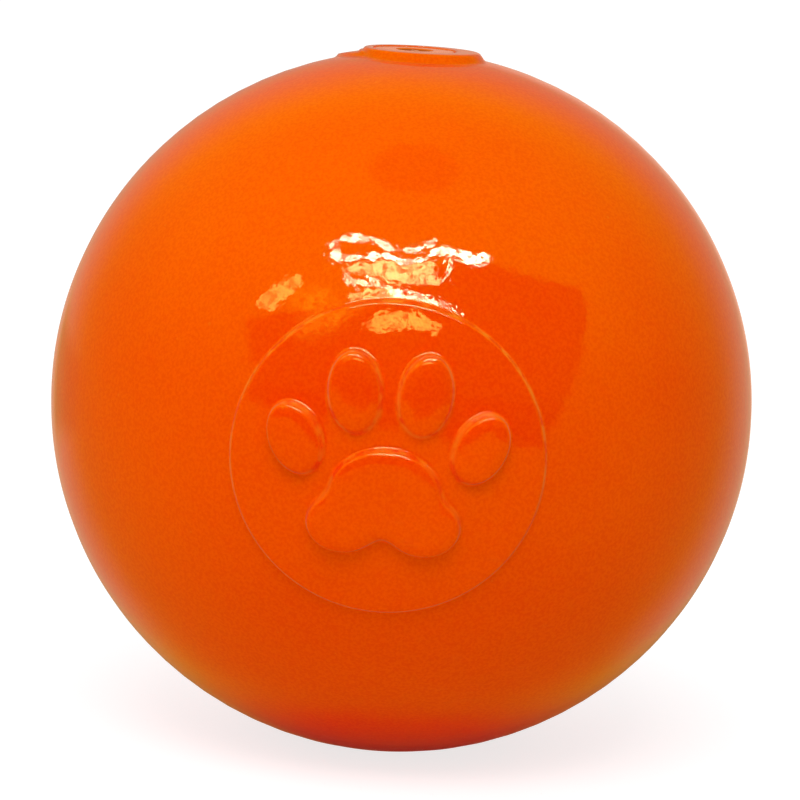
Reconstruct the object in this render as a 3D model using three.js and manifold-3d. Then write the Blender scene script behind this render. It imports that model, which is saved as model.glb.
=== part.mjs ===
// Squeaky dog ball: a hollow rubber ball with a reed squeaker pressed into the boss on its crown.
// Millimetres, +Z up through the boss, origin at the middle of the flat foot.
// The round badge is on the -Y side. Squeezing the ball blows its air past the reed and out of the vent.

import * as THREE from 'three';
import { mergeVertices } from 'three/addons/utils/BufferGeometryUtils.js';
import Module from 'manifold-3d';

const wasm = await Module();
wasm.setup();

// Driving dimensions: ball
const ballDiameter = 63.5;
const wallThickness = 4.8;
const footCut = 0.5; // how much the flat foot takes off the bottom of the sphere

// Driving dimensions: badge and the paw print on it
const badgeDiameter = 26.2;
const badgeRise = 0.45; // of the badge's edge above the ball
const badgeFaceRadius = 38; // the badge is flatter than the ball
const badgeBevel = 0.25;
const pawRise = 0.75;
const innerToeLength = 6.6;
const innerToeWidth = 4.4;
const innerToeSpacing = 5.8; // between the centres of the two middle toes
const innerToeHeight = 5.6; // above the badge's centre
const innerToeLean = 6; // degrees, outwards
const outerToeLength = 6.0;
const outerToeWidth = 4.2;
const outerToeSpacing = 15.2; // between the centres of the two outer toes
const outerToeHeight = 1.5;
const outerToeLean = 24;
const palmWidth = 9.2; // the palm's upper lobe
const palmHeight = 7.4;
const palmDrop = 2.6; // the upper lobe's centre below the badge's centre
const lobeWidth = 6.0; // the palm's two lower lobes
const lobeHeight = 5.0;
const lobeSpacing = 6.6;
const lobeDrop = 5.2;

// Driving dimensions: squeaker
const capDiameter = 7.1;
const capThickness = 0.8;
const capSink = 0.05; // the cap's face below the boss's top
const ventDiameter = 3.0;
const spigotLength = 1.4; // the cap's plug, inside the neck
const neckWall = 0.7;
const flangeOverhang = 1.7; // the case's flange beyond its neck
const flangeThickness = 1.4;
const barrelDiameter = 8.4;
const barrelWall = 0.8;
const barrelLength = 12.5; // below the flange
const barbHeight = 0.35;
const barbPitch = 2.1;
const barbCount = 3;
const tubeWall = 0.5;
const tubeLength = 11.4;
const reedThickness = 0.2;
const reedWidth = 2.4;
const reedFreeLength = 5.6;
const reedClampLength = 4.2;
const grooveWidth = 1.5;
const grooveDepth = 1.3;
const grooveFloorEnd = 1.2; // solid end of the tone board, past the groove
const reliefDepth = 0.5; // how far the tone board's face falls away at its free end

// Driving dimensions: boss and socket of the ball
const squeakerShift = 0.7; // the squeaker and its socket sit off the boss's centre, towards -X
const lipThickness = 1.6;
const rimWidth = 1.45; // flat ring round the cap
const bossDraft = 0.4;
const bossHeight = 0.735; // of the boss's top above the sphere at its base
const padDiameter = 13.2; // low round pad on the ball, beside and behind the boss
const padRise = 0.28; // above the sphere
const padLeft = 1.2; // the pad's centre off the boss's centre, towards -X
const padBack = 3.2; // and towards +Y
const collarWall = 2.2; // tube of rubber round the squeaker, inside the ball
const collarLength = 8.0; // below the flange's seat

// Clearances
const rubberClearance = 0.2; // squeaker to rubber, on each side
const pressClearance = 0.12; // plastic piece to plastic piece, on each side
const filmClearance = 0.04; // reed to the faces that hold it, on each side
const cutMargin = 1; // how far a cut runs past the face that it opens

// Facets
const ballSides = 48;
const badgeSides = 40;
const squeakerSides = 32;
const outerArcSteps = 24;
const innerArcSteps = 14;
const badgeArcSteps = 5;
const pawSides = 12; // half of the points round a toe

// Derived: ball
const ballRadius = ballDiameter / 2;
const cavityRadius = ballRadius - wallThickness;
const ballCentre = ballRadius - footCut;

// Derived: radii of the squeaker and of the boss round it, from the middle outwards
const capRadius = capDiameter / 2;
const ventRadius = ventDiameter / 2;
const neckBore = capRadius - neckWall;
const flangeRadius = capRadius + flangeOverhang;
const barrelRadius = barrelDiameter / 2;
const barrelBore = barrelRadius - barrelWall;
const barbRadius = barrelRadius + barbHeight;
const tubeRadius = barrelBore - pressClearance;
const tubeBore = tubeRadius - tubeWall;
const coreRadius = tubeBore - pressClearance;
const lipRadius = capRadius + rubberClearance;
const bossTopRadius = lipRadius + rimWidth;
const bossBaseRadius = bossTopRadius + bossDraft;
const pocketRadius = flangeRadius + rubberClearance;
const socketRadius = barbRadius + rubberClearance;
const collarRadius = socketRadius + collarWall;

// Derived: heights, from the boss down
const bossFoot = ballCentre + Math.sqrt(ballRadius ** 2 - bossBaseRadius ** 2);
const bossTop = bossFoot + bossHeight;
const capTop = bossTop - capSink;
const neckTop = capTop - capThickness;
const lipBottom = bossTop - lipThickness;
const flangeTop = lipBottom - rubberClearance;
const flangeBottom = flangeTop - flangeThickness;
const pocketFloor = flangeBottom - rubberClearance;
const collarEnd = pocketFloor - collarLength;
const barrelEnd = flangeBottom - barrelLength;
const tubeTop = flangeBottom - pressClearance;
const tubeEnd = tubeTop - tubeLength;
const reedTop = tubeTop - pressClearance;
const reedRoot = reedTop - reedClampLength;
const reedTip = reedRoot - reedFreeLength;
const boardFace = -reedThickness / 2 - filmClearance;
const clipFace = reedThickness / 2 + filmClearance;

// Solids and geometries

function solidOf(geometry) {
  const bare = geometry.clone();
  bare.deleteAttribute('normal');
  bare.deleteAttribute('uv');
  const merged = mergeVertices(bare);
  return new wasm.Manifold(new wasm.Mesh({
    numProp: 3,
    vertProperties: merged.attributes.position.array,
    triVerts: new Uint32Array(merged.index.array),
  }));
}

function geometryOf(solid) {
  const mesh = solid.getMesh();
  const geometry = new THREE.BufferGeometry();
  geometry.setAttribute('position', new THREE.BufferAttribute(mesh.vertProperties, 3));
  geometry.setIndex(new THREE.BufferAttribute(mesh.triVerts, 1));
  geometry.computeVertexNormals();
  return geometry;
}

// A profile of [radius, height] points turned about +Z, anticlockwise in the (radius, height) plane.
function turned(profile, sides) {
  const points = profile.map(([radius, height]) => new THREE.Vector2(radius, height));
  return new THREE.LatheGeometry(points, sides).rotateX(Math.PI / 2);
}

// Points of an arc about a centre on the axis, between two angles from the equator, both ends included.
function arc(radius, centre, from, to, steps) {
  return Array.from({ length: steps + 1 }, (_, i) => {
    const angle = from + ((to - from) * i) / steps;
    return [radius * Math.cos(angle), centre + radius * Math.sin(angle)];
  });
}

// Shape in the XZ plane, pushed from one Y to another with -Y as its front.
function pushed(shape, back, front, curveSegments) {
  const geometry = new THREE.ExtrudeGeometry(shape, {
    depth: back - front,
    bevelEnabled: false,
    curveSegments,
  });
  return geometry.rotateX(Math.PI / 2).translate(0, back, 0);
}

// Shape in the XY plane, raised from one Z to another.
function raised(shape, bottom, top, curveSegments) {
  const geometry = new THREE.ExtrudeGeometry(shape, {
    depth: top - bottom,
    bevelEnabled: false,
    curveSegments,
  });
  return geometry.translate(0, 0, bottom);
}

// Shape in the YZ plane, carried across the axis along X.
function across(shape, width) {
  const geometry = new THREE.ExtrudeGeometry(shape, { depth: width, bevelEnabled: false });
  return geometry.translate(0, 0, -width / 2).rotateY(Math.PI / 2).rotateX(Math.PI / 2);
}

// Ball shell

// The sphere with its flat foot, or a skin that lies above it by a rise.
function ballProfile(rise) {
  const footAngle = -Math.asin(ballCentre / ballRadius);
  const points = arc(ballRadius + rise, ballCentre, footAngle, Math.PI / 2, outerArcSteps);
  return [[0, points[0][1]], ...points];
}

function bossProfile() {
  return [
    [0, bossFoot - cutMargin],
    [bossBaseRadius, bossFoot - cutMargin],
    [bossBaseRadius, bossFoot],
    [bossTopRadius, bossTop],
    [0, bossTop],
  ];
}

function collarProfile() {
  return [[0, collarEnd], [collarRadius, collarEnd], [collarRadius, pocketFloor], [0, pocketFloor]];
}

// The space that the squeaker is pressed into, from below the collar up through the boss.
function socketProfile() {
  return [
    [0, collarEnd - cutMargin],
    [socketRadius, collarEnd - cutMargin],
    [socketRadius, pocketFloor],
    [pocketRadius, pocketFloor],
    [pocketRadius, lipBottom],
    [lipRadius, lipBottom],
    [lipRadius, bossTop + cutMargin],
    [0, bossTop + cutMargin],
  ];
}

function turnedSolid(profile, shift) {
  return solidOf(turned(profile, ballSides).translate(-shift, 0, 0));
}

// The pad: a skin over the sphere, kept inside an upright round column from the ball's middle up.
function padSolid() {
  const radius = padDiameter / 2;
  const column = [[0, ballCentre], [radius, ballCentre], [radius, bossTop], [0, bossTop]];
  const outline = turned(column, ballSides).translate(-padLeft, padBack, 0);
  return turnedSolid(ballProfile(padRise), 0).intersect(solidOf(outline));
}

function plainShell() {
  const cavityArc = arc(cavityRadius, ballCentre, -Math.PI / 2, Math.PI / 2, innerArcSteps);
  const collar = turnedSolid(collarProfile(), squeakerShift);
  return turnedSolid(ballProfile(0), 0)
    .add(padSolid())
    .add(turnedSolid(bossProfile(), 0))
    .subtract(turnedSolid(cavityArc, 0).subtract(collar))
    .subtract(turnedSolid(socketProfile(), squeakerShift));
}

// A lens from the middle of the ball's wall out to the badge's face, or to a face that rises above it. It
// is turned about the badge's axis and faces -Y.
function badgeLens(rise) {
  const inner = ballRadius - wallThickness / 2;
  const radius = badgeDiameter / 2;
  const edge = Math.sqrt((ballRadius + badgeRise) ** 2 - radius ** 2);
  const centre = edge - Math.sqrt(badgeFaceRadius ** 2 - radius ** 2);
  const outer = badgeFaceRadius + rise;
  const profile = [
    ...arc(inner, 0, Math.PI / 2, Math.acos(radius / inner), badgeArcSteps),
    [radius, centre + Math.sqrt(outer ** 2 - radius ** 2) - badgeBevel],
    ...arc(outer, centre, Math.acos((radius - badgeBevel) / outer), Math.PI / 2, badgeArcSteps),
  ];
  return solidOf(turned(profile, badgeSides).rotateX(Math.PI / 2).translate(0, 0, ballCentre));
}

function ellipse(x, y, width, height, lean) {
  const shape = new THREE.Shape();
  const turn = THREE.MathUtils.degToRad(lean);
  return shape.absellipse(x, y, width / 2, height / 2, 0, 2 * Math.PI, false, turn);
}

// Toes and palm of the paw print, as outlines about the badge's centre.
function pawOutlines() {
  const toes = [-1, 1].flatMap((side) => [
    ellipse(
      (side * innerToeSpacing) / 2, innerToeHeight,
      innerToeWidth, innerToeLength, -side * innerToeLean,
    ),
    ellipse(
      (side * outerToeSpacing) / 2, outerToeHeight,
      outerToeWidth, outerToeLength, -side * outerToeLean,
    ),
  ]);
  const lobes = [-1, 1].map((side) => {
    return ellipse((side * lobeSpacing) / 2, -lobeDrop, lobeWidth, lobeHeight, 0);
  });
  return [...toes, ...lobes, ellipse(0, -palmDrop, palmWidth, palmHeight, 0)];
}

function ballShell() {
  const pawFront = -ballRadius - badgeRise - pawRise;
  const pawLens = badgeLens(pawRise);
  const prints = pawOutlines().map((outline) => {
    const print = pushed(outline, 0, pawFront, pawSides).translate(0, 0, ballCentre);
    return solidOf(print).intersect(pawLens);
  });
  return geometryOf(prints.reduce((body, print) => body.add(print), plainShell().add(badgeLens(0))));
}

// Squeaker case: a flanged sleeve with barbs that bite into the rubber

function caseProfile() {
  const firstBarb = flangeBottom - barbPitch;
  const barbs = Array.from({ length: barbCount }, (_, i) => firstBarb - i * barbPitch);
  return [
    [barrelBore, barrelEnd],
    [barrelRadius, barrelEnd],
    ...barbs.reverse().flatMap((top) => [
      [barrelRadius, top - barbPitch / 2],
      [barbRadius, top],
      [barrelRadius, top],
    ]),
    [barrelRadius, flangeBottom],
    [flangeRadius, flangeBottom],
    [flangeRadius, flangeTop],
    [capRadius, flangeTop],
    [capRadius, neckTop],
    [neckBore, neckTop],
    [neckBore, flangeBottom],
    [barrelBore, flangeBottom],
    [barrelBore, barrelEnd],
  ];
}

// Vent cap: the face that shows inside the boss, with the vent in its middle

function capProfile() {
  const spigotRadius = neckBore - pressClearance;
  return [
    [ventRadius, neckTop - spigotLength],
    [spigotRadius, neckTop - spigotLength],
    [spigotRadius, neckTop],
    [capRadius, neckTop],
    [capRadius, capTop],
    [ventRadius, capTop],
    [ventRadius, neckTop - spigotLength],
  ];
}

// Reed tube: thin sleeve that holds the reed pack together inside the case

function tubeProfile() {
  return [
    [tubeBore, tubeEnd],
    [tubeRadius, tubeEnd],
    [tubeRadius, tubeTop],
    [tubeBore, tubeTop],
    [tubeBore, tubeEnd],
  ];
}

// Half of a round bar, cut off at a plane of constant Y. The side is +1 or -1 along Y.
function halfRound(face, side) {
  const start = Math.asin((side * face) / coreRadius);
  const shape = new THREE.Shape();
  if (side > 0) shape.absarc(0, 0, coreRadius, start, Math.PI - start, false);
  else shape.absarc(0, 0, coreRadius, Math.PI + start, 2 * Math.PI - start, false);
  return shape.closePath();
}

// Tone board: half-round bed with an air groove. Its face falls away below the reed's root.
function toneBoard() {
  const bar = solidOf(raised(halfRound(boardFace, -1), tubeEnd, reedTop, squeakerSides / 2));
  const groove = new THREE.Shape();
  groove.moveTo(-grooveWidth / 2, boardFace - grooveDepth);
  groove.lineTo(grooveWidth / 2, boardFace - grooveDepth);
  groove.lineTo(grooveWidth / 2, boardFace + cutMargin);
  groove.lineTo(-grooveWidth / 2, boardFace + cutMargin);
  groove.closePath();
  const grooveCut = raised(groove, tubeEnd + grooveFloorEnd, reedTop + cutMargin, 1);
  const fall = reliefDepth / (reedRoot - tubeEnd);
  const cutTop = reedRoot + cutMargin;
  const cutEnd = tubeEnd - cutMargin;
  const relief = new THREE.Shape();
  relief.moveTo(boardFace + fall * cutMargin, cutTop);
  relief.lineTo(boardFace - reliefDepth - fall * cutMargin, cutEnd);
  relief.lineTo(boardFace + cutMargin, cutEnd);
  relief.lineTo(boardFace + cutMargin, cutTop);
  relief.closePath();
  return geometryOf(bar.subtract(solidOf(grooveCut)).subtract(solidOf(across(relief, 2 * coreRadius))));
}

// Reed clip: half-round block that holds the reed's root against the tone board
function reedClip() {
  return raised(halfRound(clipFace, 1), reedRoot, reedTop, squeakerSides / 2);
}

function reed() {
  const strip = new THREE.BoxGeometry(reedWidth, reedThickness, reedTop - reedTip);
  return strip.translate(0, 0, (reedTop + reedTip) / 2);
}

// Finishes

function finish(color, roughness, name) {
  return new THREE.MeshStandardMaterial({ name, color, roughness, metalness: 0 });
}

const orangeRubber = finish(0xff6000, 0.28, 'orange_rubber');
const orangePlastic = finish(0xf7701e, 0.35, 'orange_plastic');
const naturalPlastic = finish(0xe9e2d2, 0.45, 'natural_plastic');
const reedFilm = finish(0xd8dde0, 0.2, 'reed_film');

// Assembly

function piece(name, geometry, material) {
  const mesh = new THREE.Mesh(geometry, material);
  mesh.name = name;
  return mesh;
}

const squeakyBall = new THREE.Group();
squeakyBall.add(piece('ball_shell', ballShell(), orangeRubber));

const squeaker = new THREE.Group();
squeaker.position.x = -squeakerShift;
squeaker.add(
  piece('squeaker_case', turned(caseProfile(), squeakerSides), orangePlastic),
  piece('vent_cap', turned(capProfile(), squeakerSides), orangePlastic),
  piece('reed_tube', turned(tubeProfile(), squeakerSides), naturalPlastic),
  piece('tone_board', toneBoard(), naturalPlastic),
  piece('reed_clip', reedClip(), naturalPlastic),
  piece('reed', reed(), reedFilm),
);
squeakyBall.add(squeaker);

export default squeakyBall;
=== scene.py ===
"""Squeaky dog ball: a hollow, glossy orange rubber ball with a raised badge and a reed squeaker.

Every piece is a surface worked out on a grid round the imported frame. Lengths are in metres. +Z is up
through the boss, the badge faces -Y, and the middle of the flat foot is the origin.
"""

import math

import bmesh
import bpy
import numpy as np
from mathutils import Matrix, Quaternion, Vector


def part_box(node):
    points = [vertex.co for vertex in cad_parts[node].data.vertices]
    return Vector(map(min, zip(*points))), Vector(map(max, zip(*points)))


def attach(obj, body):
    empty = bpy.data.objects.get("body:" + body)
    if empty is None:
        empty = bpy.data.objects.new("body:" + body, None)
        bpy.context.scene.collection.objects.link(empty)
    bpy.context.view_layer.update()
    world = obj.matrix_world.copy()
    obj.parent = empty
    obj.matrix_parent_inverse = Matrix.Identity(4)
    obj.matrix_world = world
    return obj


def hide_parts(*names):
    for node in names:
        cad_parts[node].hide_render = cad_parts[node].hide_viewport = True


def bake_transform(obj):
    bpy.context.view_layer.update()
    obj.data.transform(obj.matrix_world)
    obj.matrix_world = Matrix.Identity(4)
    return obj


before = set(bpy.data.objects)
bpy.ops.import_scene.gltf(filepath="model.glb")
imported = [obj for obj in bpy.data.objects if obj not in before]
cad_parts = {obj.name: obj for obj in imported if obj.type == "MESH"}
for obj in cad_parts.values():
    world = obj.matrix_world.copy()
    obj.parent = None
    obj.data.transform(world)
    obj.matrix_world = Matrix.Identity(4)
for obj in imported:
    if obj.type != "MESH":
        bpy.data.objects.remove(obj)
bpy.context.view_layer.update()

bl_info = {
    "name": "Squeaky Dog Ball",
    "version": (1, 0, 0),
    "blender": (4, 5, 0),
    "location": "View3D > Sidebar > Dog Ball",
    "description": "Builds a hollow rubber dog ball with a reed squeaker, and a studio to show it in",
    "category": "Add Mesh",
}

IMAGE_SIDE = 800  # pixels
MM = 0.001


# Settings that a user would change


def length(name, description, default):
    """A length property, in metres."""
    return bpy.props.FloatProperty(
        name=name, description=description, default=default, precision=5, unit="LENGTH"
    )


def angle(name, description, degrees):
    """An angle property, given in degrees and kept in radians."""
    return bpy.props.FloatProperty(
        name=name, description=description, default=math.radians(degrees), unit="ROTATION"
    )


def level(name, description, default):
    """A plain number property, zero or more."""
    return bpy.props.FloatProperty(name=name, description=description, default=default, min=0.0)


def colour(name, description, red, green, blue):
    """A colour property, given as display values from 0 to 255 and kept as linear ones."""
    display = np.array([red, green, blue]) / 255
    linear = np.where(display > 0.04045, ((display + 0.055) / 1.055) ** 2.4, display / 12.92)
    return bpy.props.FloatVectorProperty(
        name=name, description=description, default=linear.tolist(), subtype="COLOR", min=0, max=1
    )


class BallSizes(bpy.types.PropertyGroup):
    """Sizes of the rubber ball"""

    diameter: length("Diameter", "Across the ball", 63.46 * MM)
    wall: length("Wall", "Thickness of the rubber", 4.78 * MM)
    foot_cut: length("Foot cut", "Taken off the bottom by the flat foot", 0.48 * MM)
    lip_gap: length("Lip gap", "Between the vent cap and the lip round it", 0.2 * MM)
    rim_width: length("Rim width", "Flat ring round the vent cap", 1.45 * MM)
    boss_draft: length("Boss draft", "How much wider the boss is at its base", 0.4 * MM)
    boss_fillet: length("Boss fillet", "How far out the ball's skin sweeps up to the boss", 0.3 * MM)
    pad_diameter: length("Pad diameter", "Across the low pad behind the boss", 13.2 * MM)
    pad_rise: length("Pad rise", "The pad's face above the ball", 0.28 * MM)
    pad_left: length("Pad left", "The pad's centre to the left of the boss's", 1.2 * MM)
    pad_back: length("Pad back", "The pad's centre behind the boss's", 3.2 * MM)
    pad_edge: length("Pad edge", "Width of the pad's rounded edge", 0.3 * MM)
    lip_thickness: length("Lip thickness", "Rubber over the squeaker's flange", 1.6 * MM)
    collar_wall: length("Collar wall", "Tube of rubber round the squeaker, inside", 2.2 * MM)
    collar_length: length("Collar length", "Collar below the flange's seat", 8.0 * MM)
    edge: length("Edge rounding", "How far the moulded edges of the crown are rounded", 0.16 * MM)
    boss_edge: length("Boss rounding", "How far the boss's top edge is rounded", 0.32 * MM)


class BadgeSizes(bpy.types.PropertyGroup):
    """Sizes of the round badge and of the paw print on it"""

    diameter: length("Diameter", "Across the badge", 26.2 * MM)
    rise: length("Rise", "The badge's edge above the ball", 0.45 * MM)
    face_radius: length("Face radius", "Of the badge's face, which is flatter than the ball", 38 * MM)
    rim: length("Rim", "Width of the badge's sloping rim", 0.6 * MM)
    paw_rise: length("Paw rise", "Paw print above the badge's middle", 0.74 * MM)
    paw_radius: length("Paw radius", "Of the paw print's face, which is flatter than the badge", 60 * MM)
    paw_edge: length("Paw edge", "Width of the paw print's rounded edge", 0.5 * MM)
    paw_fall: length("Paw fall", "How far the paw print's face falls to its edge", 0.24 * MM)
    paw_shoulder: length("Paw shoulder", "How far in from the edge it begins to fall", 1.3 * MM)
    inner_toe_length: length("Inner toe length", "Along a middle toe", 6.6 * MM)
    inner_toe_width: length("Inner toe width", "Across a middle toe", 4.4 * MM)
    inner_toe_spacing: length("Inner toe spacing", "Between the middle toes", 5.8 * MM)
    inner_toe_height: length("Inner toe height", "Above the badge's centre", 5.6 * MM)
    inner_toe_lean: angle("Inner toe lean", "Outwards", 6)
    outer_toe_length: length("Outer toe length", "Along an outer toe", 6.0 * MM)
    outer_toe_width: length("Outer toe width", "Across an outer toe", 4.2 * MM)
    outer_toe_spacing: length("Outer toe spacing", "Between the outer toes", 15.2 * MM)
    outer_toe_height: length("Outer toe height", "Above the badge's centre", 1.5 * MM)
    outer_toe_lean: angle("Outer toe lean", "Outwards", 24)
    palm_width: length("Palm width", "Across the palm's upper lobe", 9.2 * MM)
    palm_height: length("Palm height", "Height of the palm's upper lobe", 7.4 * MM)
    palm_drop: length("Palm drop", "Upper lobe below the badge's centre", 2.6 * MM)
    lobe_width: length("Lobe width", "Across a lower lobe of the palm", 6.0 * MM)
    lobe_height: length("Lobe height", "Height of a lower lobe of the palm", 5.0 * MM)
    lobe_spacing: length("Lobe spacing", "Between the lower lobes", 6.6 * MM)
    lobe_drop: length("Lobe drop", "Lower lobes below the badge's centre", 5.2 * MM)
    palm_blend: length("Palm blend", "How softly the palm's lobes run together", 1.1 * MM)


class SqueakerSizes(bpy.types.PropertyGroup):
    """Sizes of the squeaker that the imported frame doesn't give"""

    vent_diameter: length("Vent diameter", "Hole in the cap", 3.0 * MM)
    vent_chamfer: length("Vent chamfer", "Chamfer round the vent", 0.2 * MM)
    cap_thickness: length("Cap thickness", "The cap's disc", 0.8 * MM)
    neck_wall: length("Neck wall", "Wall of the case above its flange", 0.7 * MM)
    flange_thickness: length("Flange thickness", "The case's flange", 1.4 * MM)
    flange_gap: length("Flange gap", "Between the flange and the rubber", 0.2 * MM)
    barrel_diameter: length("Barrel diameter", "Across the case below its flange", 8.4 * MM)
    barrel_wall: length("Barrel wall", "Wall of the case below its flange", 0.8 * MM)
    barb_height: length("Barb height", "How far the barbs stand out", 0.35 * MM)
    barb_pitch: length("Barb pitch", "Between the barbs", 2.1 * MM)
    barb_count: bpy.props.IntProperty(
        name="Barb count", description="Rings of barbs round the case", default=3, min=0
    )
    plug_gap: length("Plug gap", "Between pieces pressed together", 0.12 * MM)
    tube_wall: length("Tube wall", "Wall of the reed tube", 0.5 * MM)
    groove_width: length("Groove width", "Air groove of the tone board", 1.5 * MM)
    groove_depth: length("Groove depth", "Air groove of the tone board", 1.3 * MM)
    groove_end: length("Groove end", "Solid end of the tone board", 1.2 * MM)
    relief: length("Relief", "How far the board's face falls away at its end", 0.5 * MM)
    edge: length("Edge rounding", "Rounded edges of the plastic pieces", 0.08 * MM)


class Finishes(bpy.types.PropertyGroup):
    """Colours of the object"""

    rubber: colour("Rubber", "Orange rubber", 253, 79, 0)
    rubber_deep: colour("Deep rubber", "Where the rubber is cloudier", 245, 61, 0)
    # Colour of the painted highlight along the raised edges, which is stronger higher up
    painted_glint: colour("Worn rubber", "Along the raised edges", 255, 132, 24)
    dust: colour("Dust", "Pale specks on the rubber", 255, 150, 70)
    bloom: colour("Bloom", "Pale film on the rubber, seen at its outline", 255, 195, 165)
    plastic: colour("Orange plastic", "Vent cap and case", 250, 96, 8)
    # Darker colour of the plastic inside the vent, up to a radius about its axis
    vent_dark: colour("Dirt", "Dirt in the vent", 165, 48, 30)
    natural: colour("Natural plastic", "Reed tube, tone board and clip", 232, 225, 210)
    film: colour("Reed film", "The reed", 214, 220, 224)


class Studio(bpy.types.PropertyGroup):
    """Camera, floor and light levels. A level of 1 lights a white card to white"""

    floor_side: length("Floor side", "Across the floor", 6.0)
    camera_distance: length("Camera distance", "From the middle of the ball", 0.349)
    camera_azimuth: angle("Camera azimuth", "To the right of the badge", 1.7)
    camera_height: angle("Camera height", "Above the horizon", 9.4)
    camera_roll: angle("Camera roll", "How far the camera leans to the left", 3.4)
    outline_radius: level("Outline radius", "Of the ball in the image, in pixels", 350.5)
    aim_x: level("Aim across", "Middle of the ball in the image, in pixels", 401.4)
    aim_y: level("Aim down", "Middle of the ball in the image, in pixels", 401.3)
    glow_above: level("Glow above", "Soft light, most from straight above", 0.72)
    glow_left: level("Glow left", "Soft light, most from the left", 0.39)
    glow_front: level("Glow front", "Soft light, most from the front", 0.09)
    key: level("Key", "Light of the lamp in front, on a card that faces it", 0.525)
    window: level("Window", "Brightness of the window in the gloss, as a share", 1.0)
    walls: level("Walls", "Walls in front and at the sides, as the gloss shows them", 0.66)
    ceiling: level("Ceiling", "Ceiling, as the gloss shows it", 1.45)
    floor_paper: level("Floor paper", "Share of light that the floor sends back", 0.83)
    floor_shade: level("Floor shade", "Share of that light that the camera sees, as shading", 0.4)
    floor_fill: level("Floor fill", "Even white that the camera sees besides", 0.76)


class DogBall(bpy.types.PropertyGroup):
    """All settings of the dog ball"""

    ball: bpy.props.PointerProperty(type=BallSizes)
    badge: bpy.props.PointerProperty(type=BadgeSizes)
    squeaker: bpy.props.PointerProperty(type=SqueakerSizes)
    finish: bpy.props.PointerProperty(type=Finishes)
    studio: bpy.props.PointerProperty(type=Studio)


# Shapes as arrays

MOST_REACH = 0.45  # share of a side that one corner's rounding may take up
RING_COLUMNS = 96
MERGE_DISTANCE = 0.0001 * MM


def smoothstep(low, high, x):
    """0 below low, 1 above high, and 3t^2 - 2t^3 between them."""
    t = np.clip((x - low) / (high - low), 0, 1)
    return t * t * (3 - 2 * t)


def rounded(points, reach, steps=5, closed=False):
    """A profile with its corners rounded. Each corner becomes a quadratic Bezier curve from a point
    reach before it to a point reach after it, with the corner as the curve's middle point. The
    reach is one number, or a column of one for each corner. An open profile keeps its two ends."""
    points = np.asarray(points, float)
    before = np.roll(points, 1, axis=0) - points
    after = np.roll(points, -1, axis=0) - points
    room_before = np.linalg.norm(before, axis=1, keepdims=True)
    room_after = np.linalg.norm(after, axis=1, keepdims=True)
    reach = np.minimum(reach, MOST_REACH * np.minimum(room_before, room_after))
    t = np.linspace(0, 1, steps)[None, :, None]
    start = (points + before / room_before * reach)[:, None]
    end = (points + after / room_after * reach)[:, None]
    curves = (1 - t) ** 2 * start + 2 * t * (1 - t) * points[:, None] + t**2 * end
    if closed:
        return curves.reshape(-1, points.shape[1])
    return np.concatenate([points[:1], curves[1:-1].reshape(-1, points.shape[1]), points[-1:]])


def turned(profile, azimuths):
    """A profile of (radius, height, shift) points, each carried round an upright axis at x = shift,
    as rows of points. Azimuth 0 is -Y."""
    radius, height, shift = np.asarray(profile).T[:, :, None]
    x = shift + radius * np.sin(azimuths)
    y = -radius * np.cos(azimuths)
    return np.stack([x, y, np.broadcast_to(height, x.shape)], axis=-1)


def on_sphere(points, radius, centre):
    """Points moved straight up or down onto the upper half of a sphere: z is the centre's height
    plus the root of the squared radius less x^2 and y^2."""
    x, y = points[..., 0], points[..., 1]
    return np.stack([x, y, centre + np.sqrt(radius**2 - x**2 - y**2)], axis=-1)


def across_box(node):
    """Middle and half-width of a CAD node's box along X."""
    low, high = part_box(node)
    return (low.x + high.x) / 2, (high.x - low.x) / 2


def grid_faces(rows, columns, wrap_rows=False):
    """Quads between neighbouring points of a grid that closes on itself from its last column to its
    first."""
    row = np.arange(rows if wrap_rows else rows - 1)[:, None]
    column = np.arange(columns)[None, :]
    above, beside = (row + 1) % rows, (column + 1) % columns
    corners = (row, column), (row, beside), (above, beside), (above, column)
    return np.stack([r * columns + c for r, c in corners], axis=-1).reshape(-1, 4)


def sheet_faces(number):
    """Quads between neighbouring points of a sheet, from the grid of its points' numbers."""
    corners = [number[:-1, :-1], number[:-1, 1:], number[1:, 1:], number[1:, :-1]]
    return np.stack(corners, axis=-1).reshape(-1, 4)


def make_piece(name, points, faces, material):
    """A smooth-shaded mesh object at the origin, with one material."""
    mesh = bpy.data.meshes.new(name)
    mesh.from_pydata(np.asarray(points).reshape(-1, 3).tolist(), [], faces)
    mesh.validate()
    mesh.shade_smooth()
    mesh.materials.append(material)
    piece = bpy.data.objects.new(name, mesh)
    bpy.context.scene.collection.objects.link(piece)
    return piece


def make_ring_piece(name, profile, axis, edge, material):
    """A closed profile of (radius, height) points with rounded corners, turned about an upright
    axis at x = axis."""
    azimuths = np.linspace(0, 2 * np.pi, RING_COLUMNS, endpoint=False)
    section = rounded(profile, edge, closed=True)
    points = turned(np.insert(section, 2, axis, axis=1), azimuths)
    faces = grid_faces(*points.shape[:2], wrap_rows=True).tolist()
    return make_piece(name, points, faces, material)


def make_slab_piece(name, x, z, front, back, material):
    """A closed solid between two surfaces y = front and y = back over one grid of x and z. Its four
    sides run straight from one surface to the other, and where the surfaces meet the side is merged
    away."""
    rows, columns = x.shape
    sheets = np.stack([np.stack([x, y, z], axis=-1) for y in (front, back)])
    number = np.arange(2 * rows * columns).reshape(2, rows, columns)
    sides = number[:, 0], number[:, -1], number[:, :, 0], number[:, :, -1]
    quads = np.concatenate([sheet_faces(sheet) for sheet in (*number, *sides)])
    piece = make_piece(name, sheets, quads.tolist(), material)
    clean_solid(piece.data)
    return piece


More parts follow.
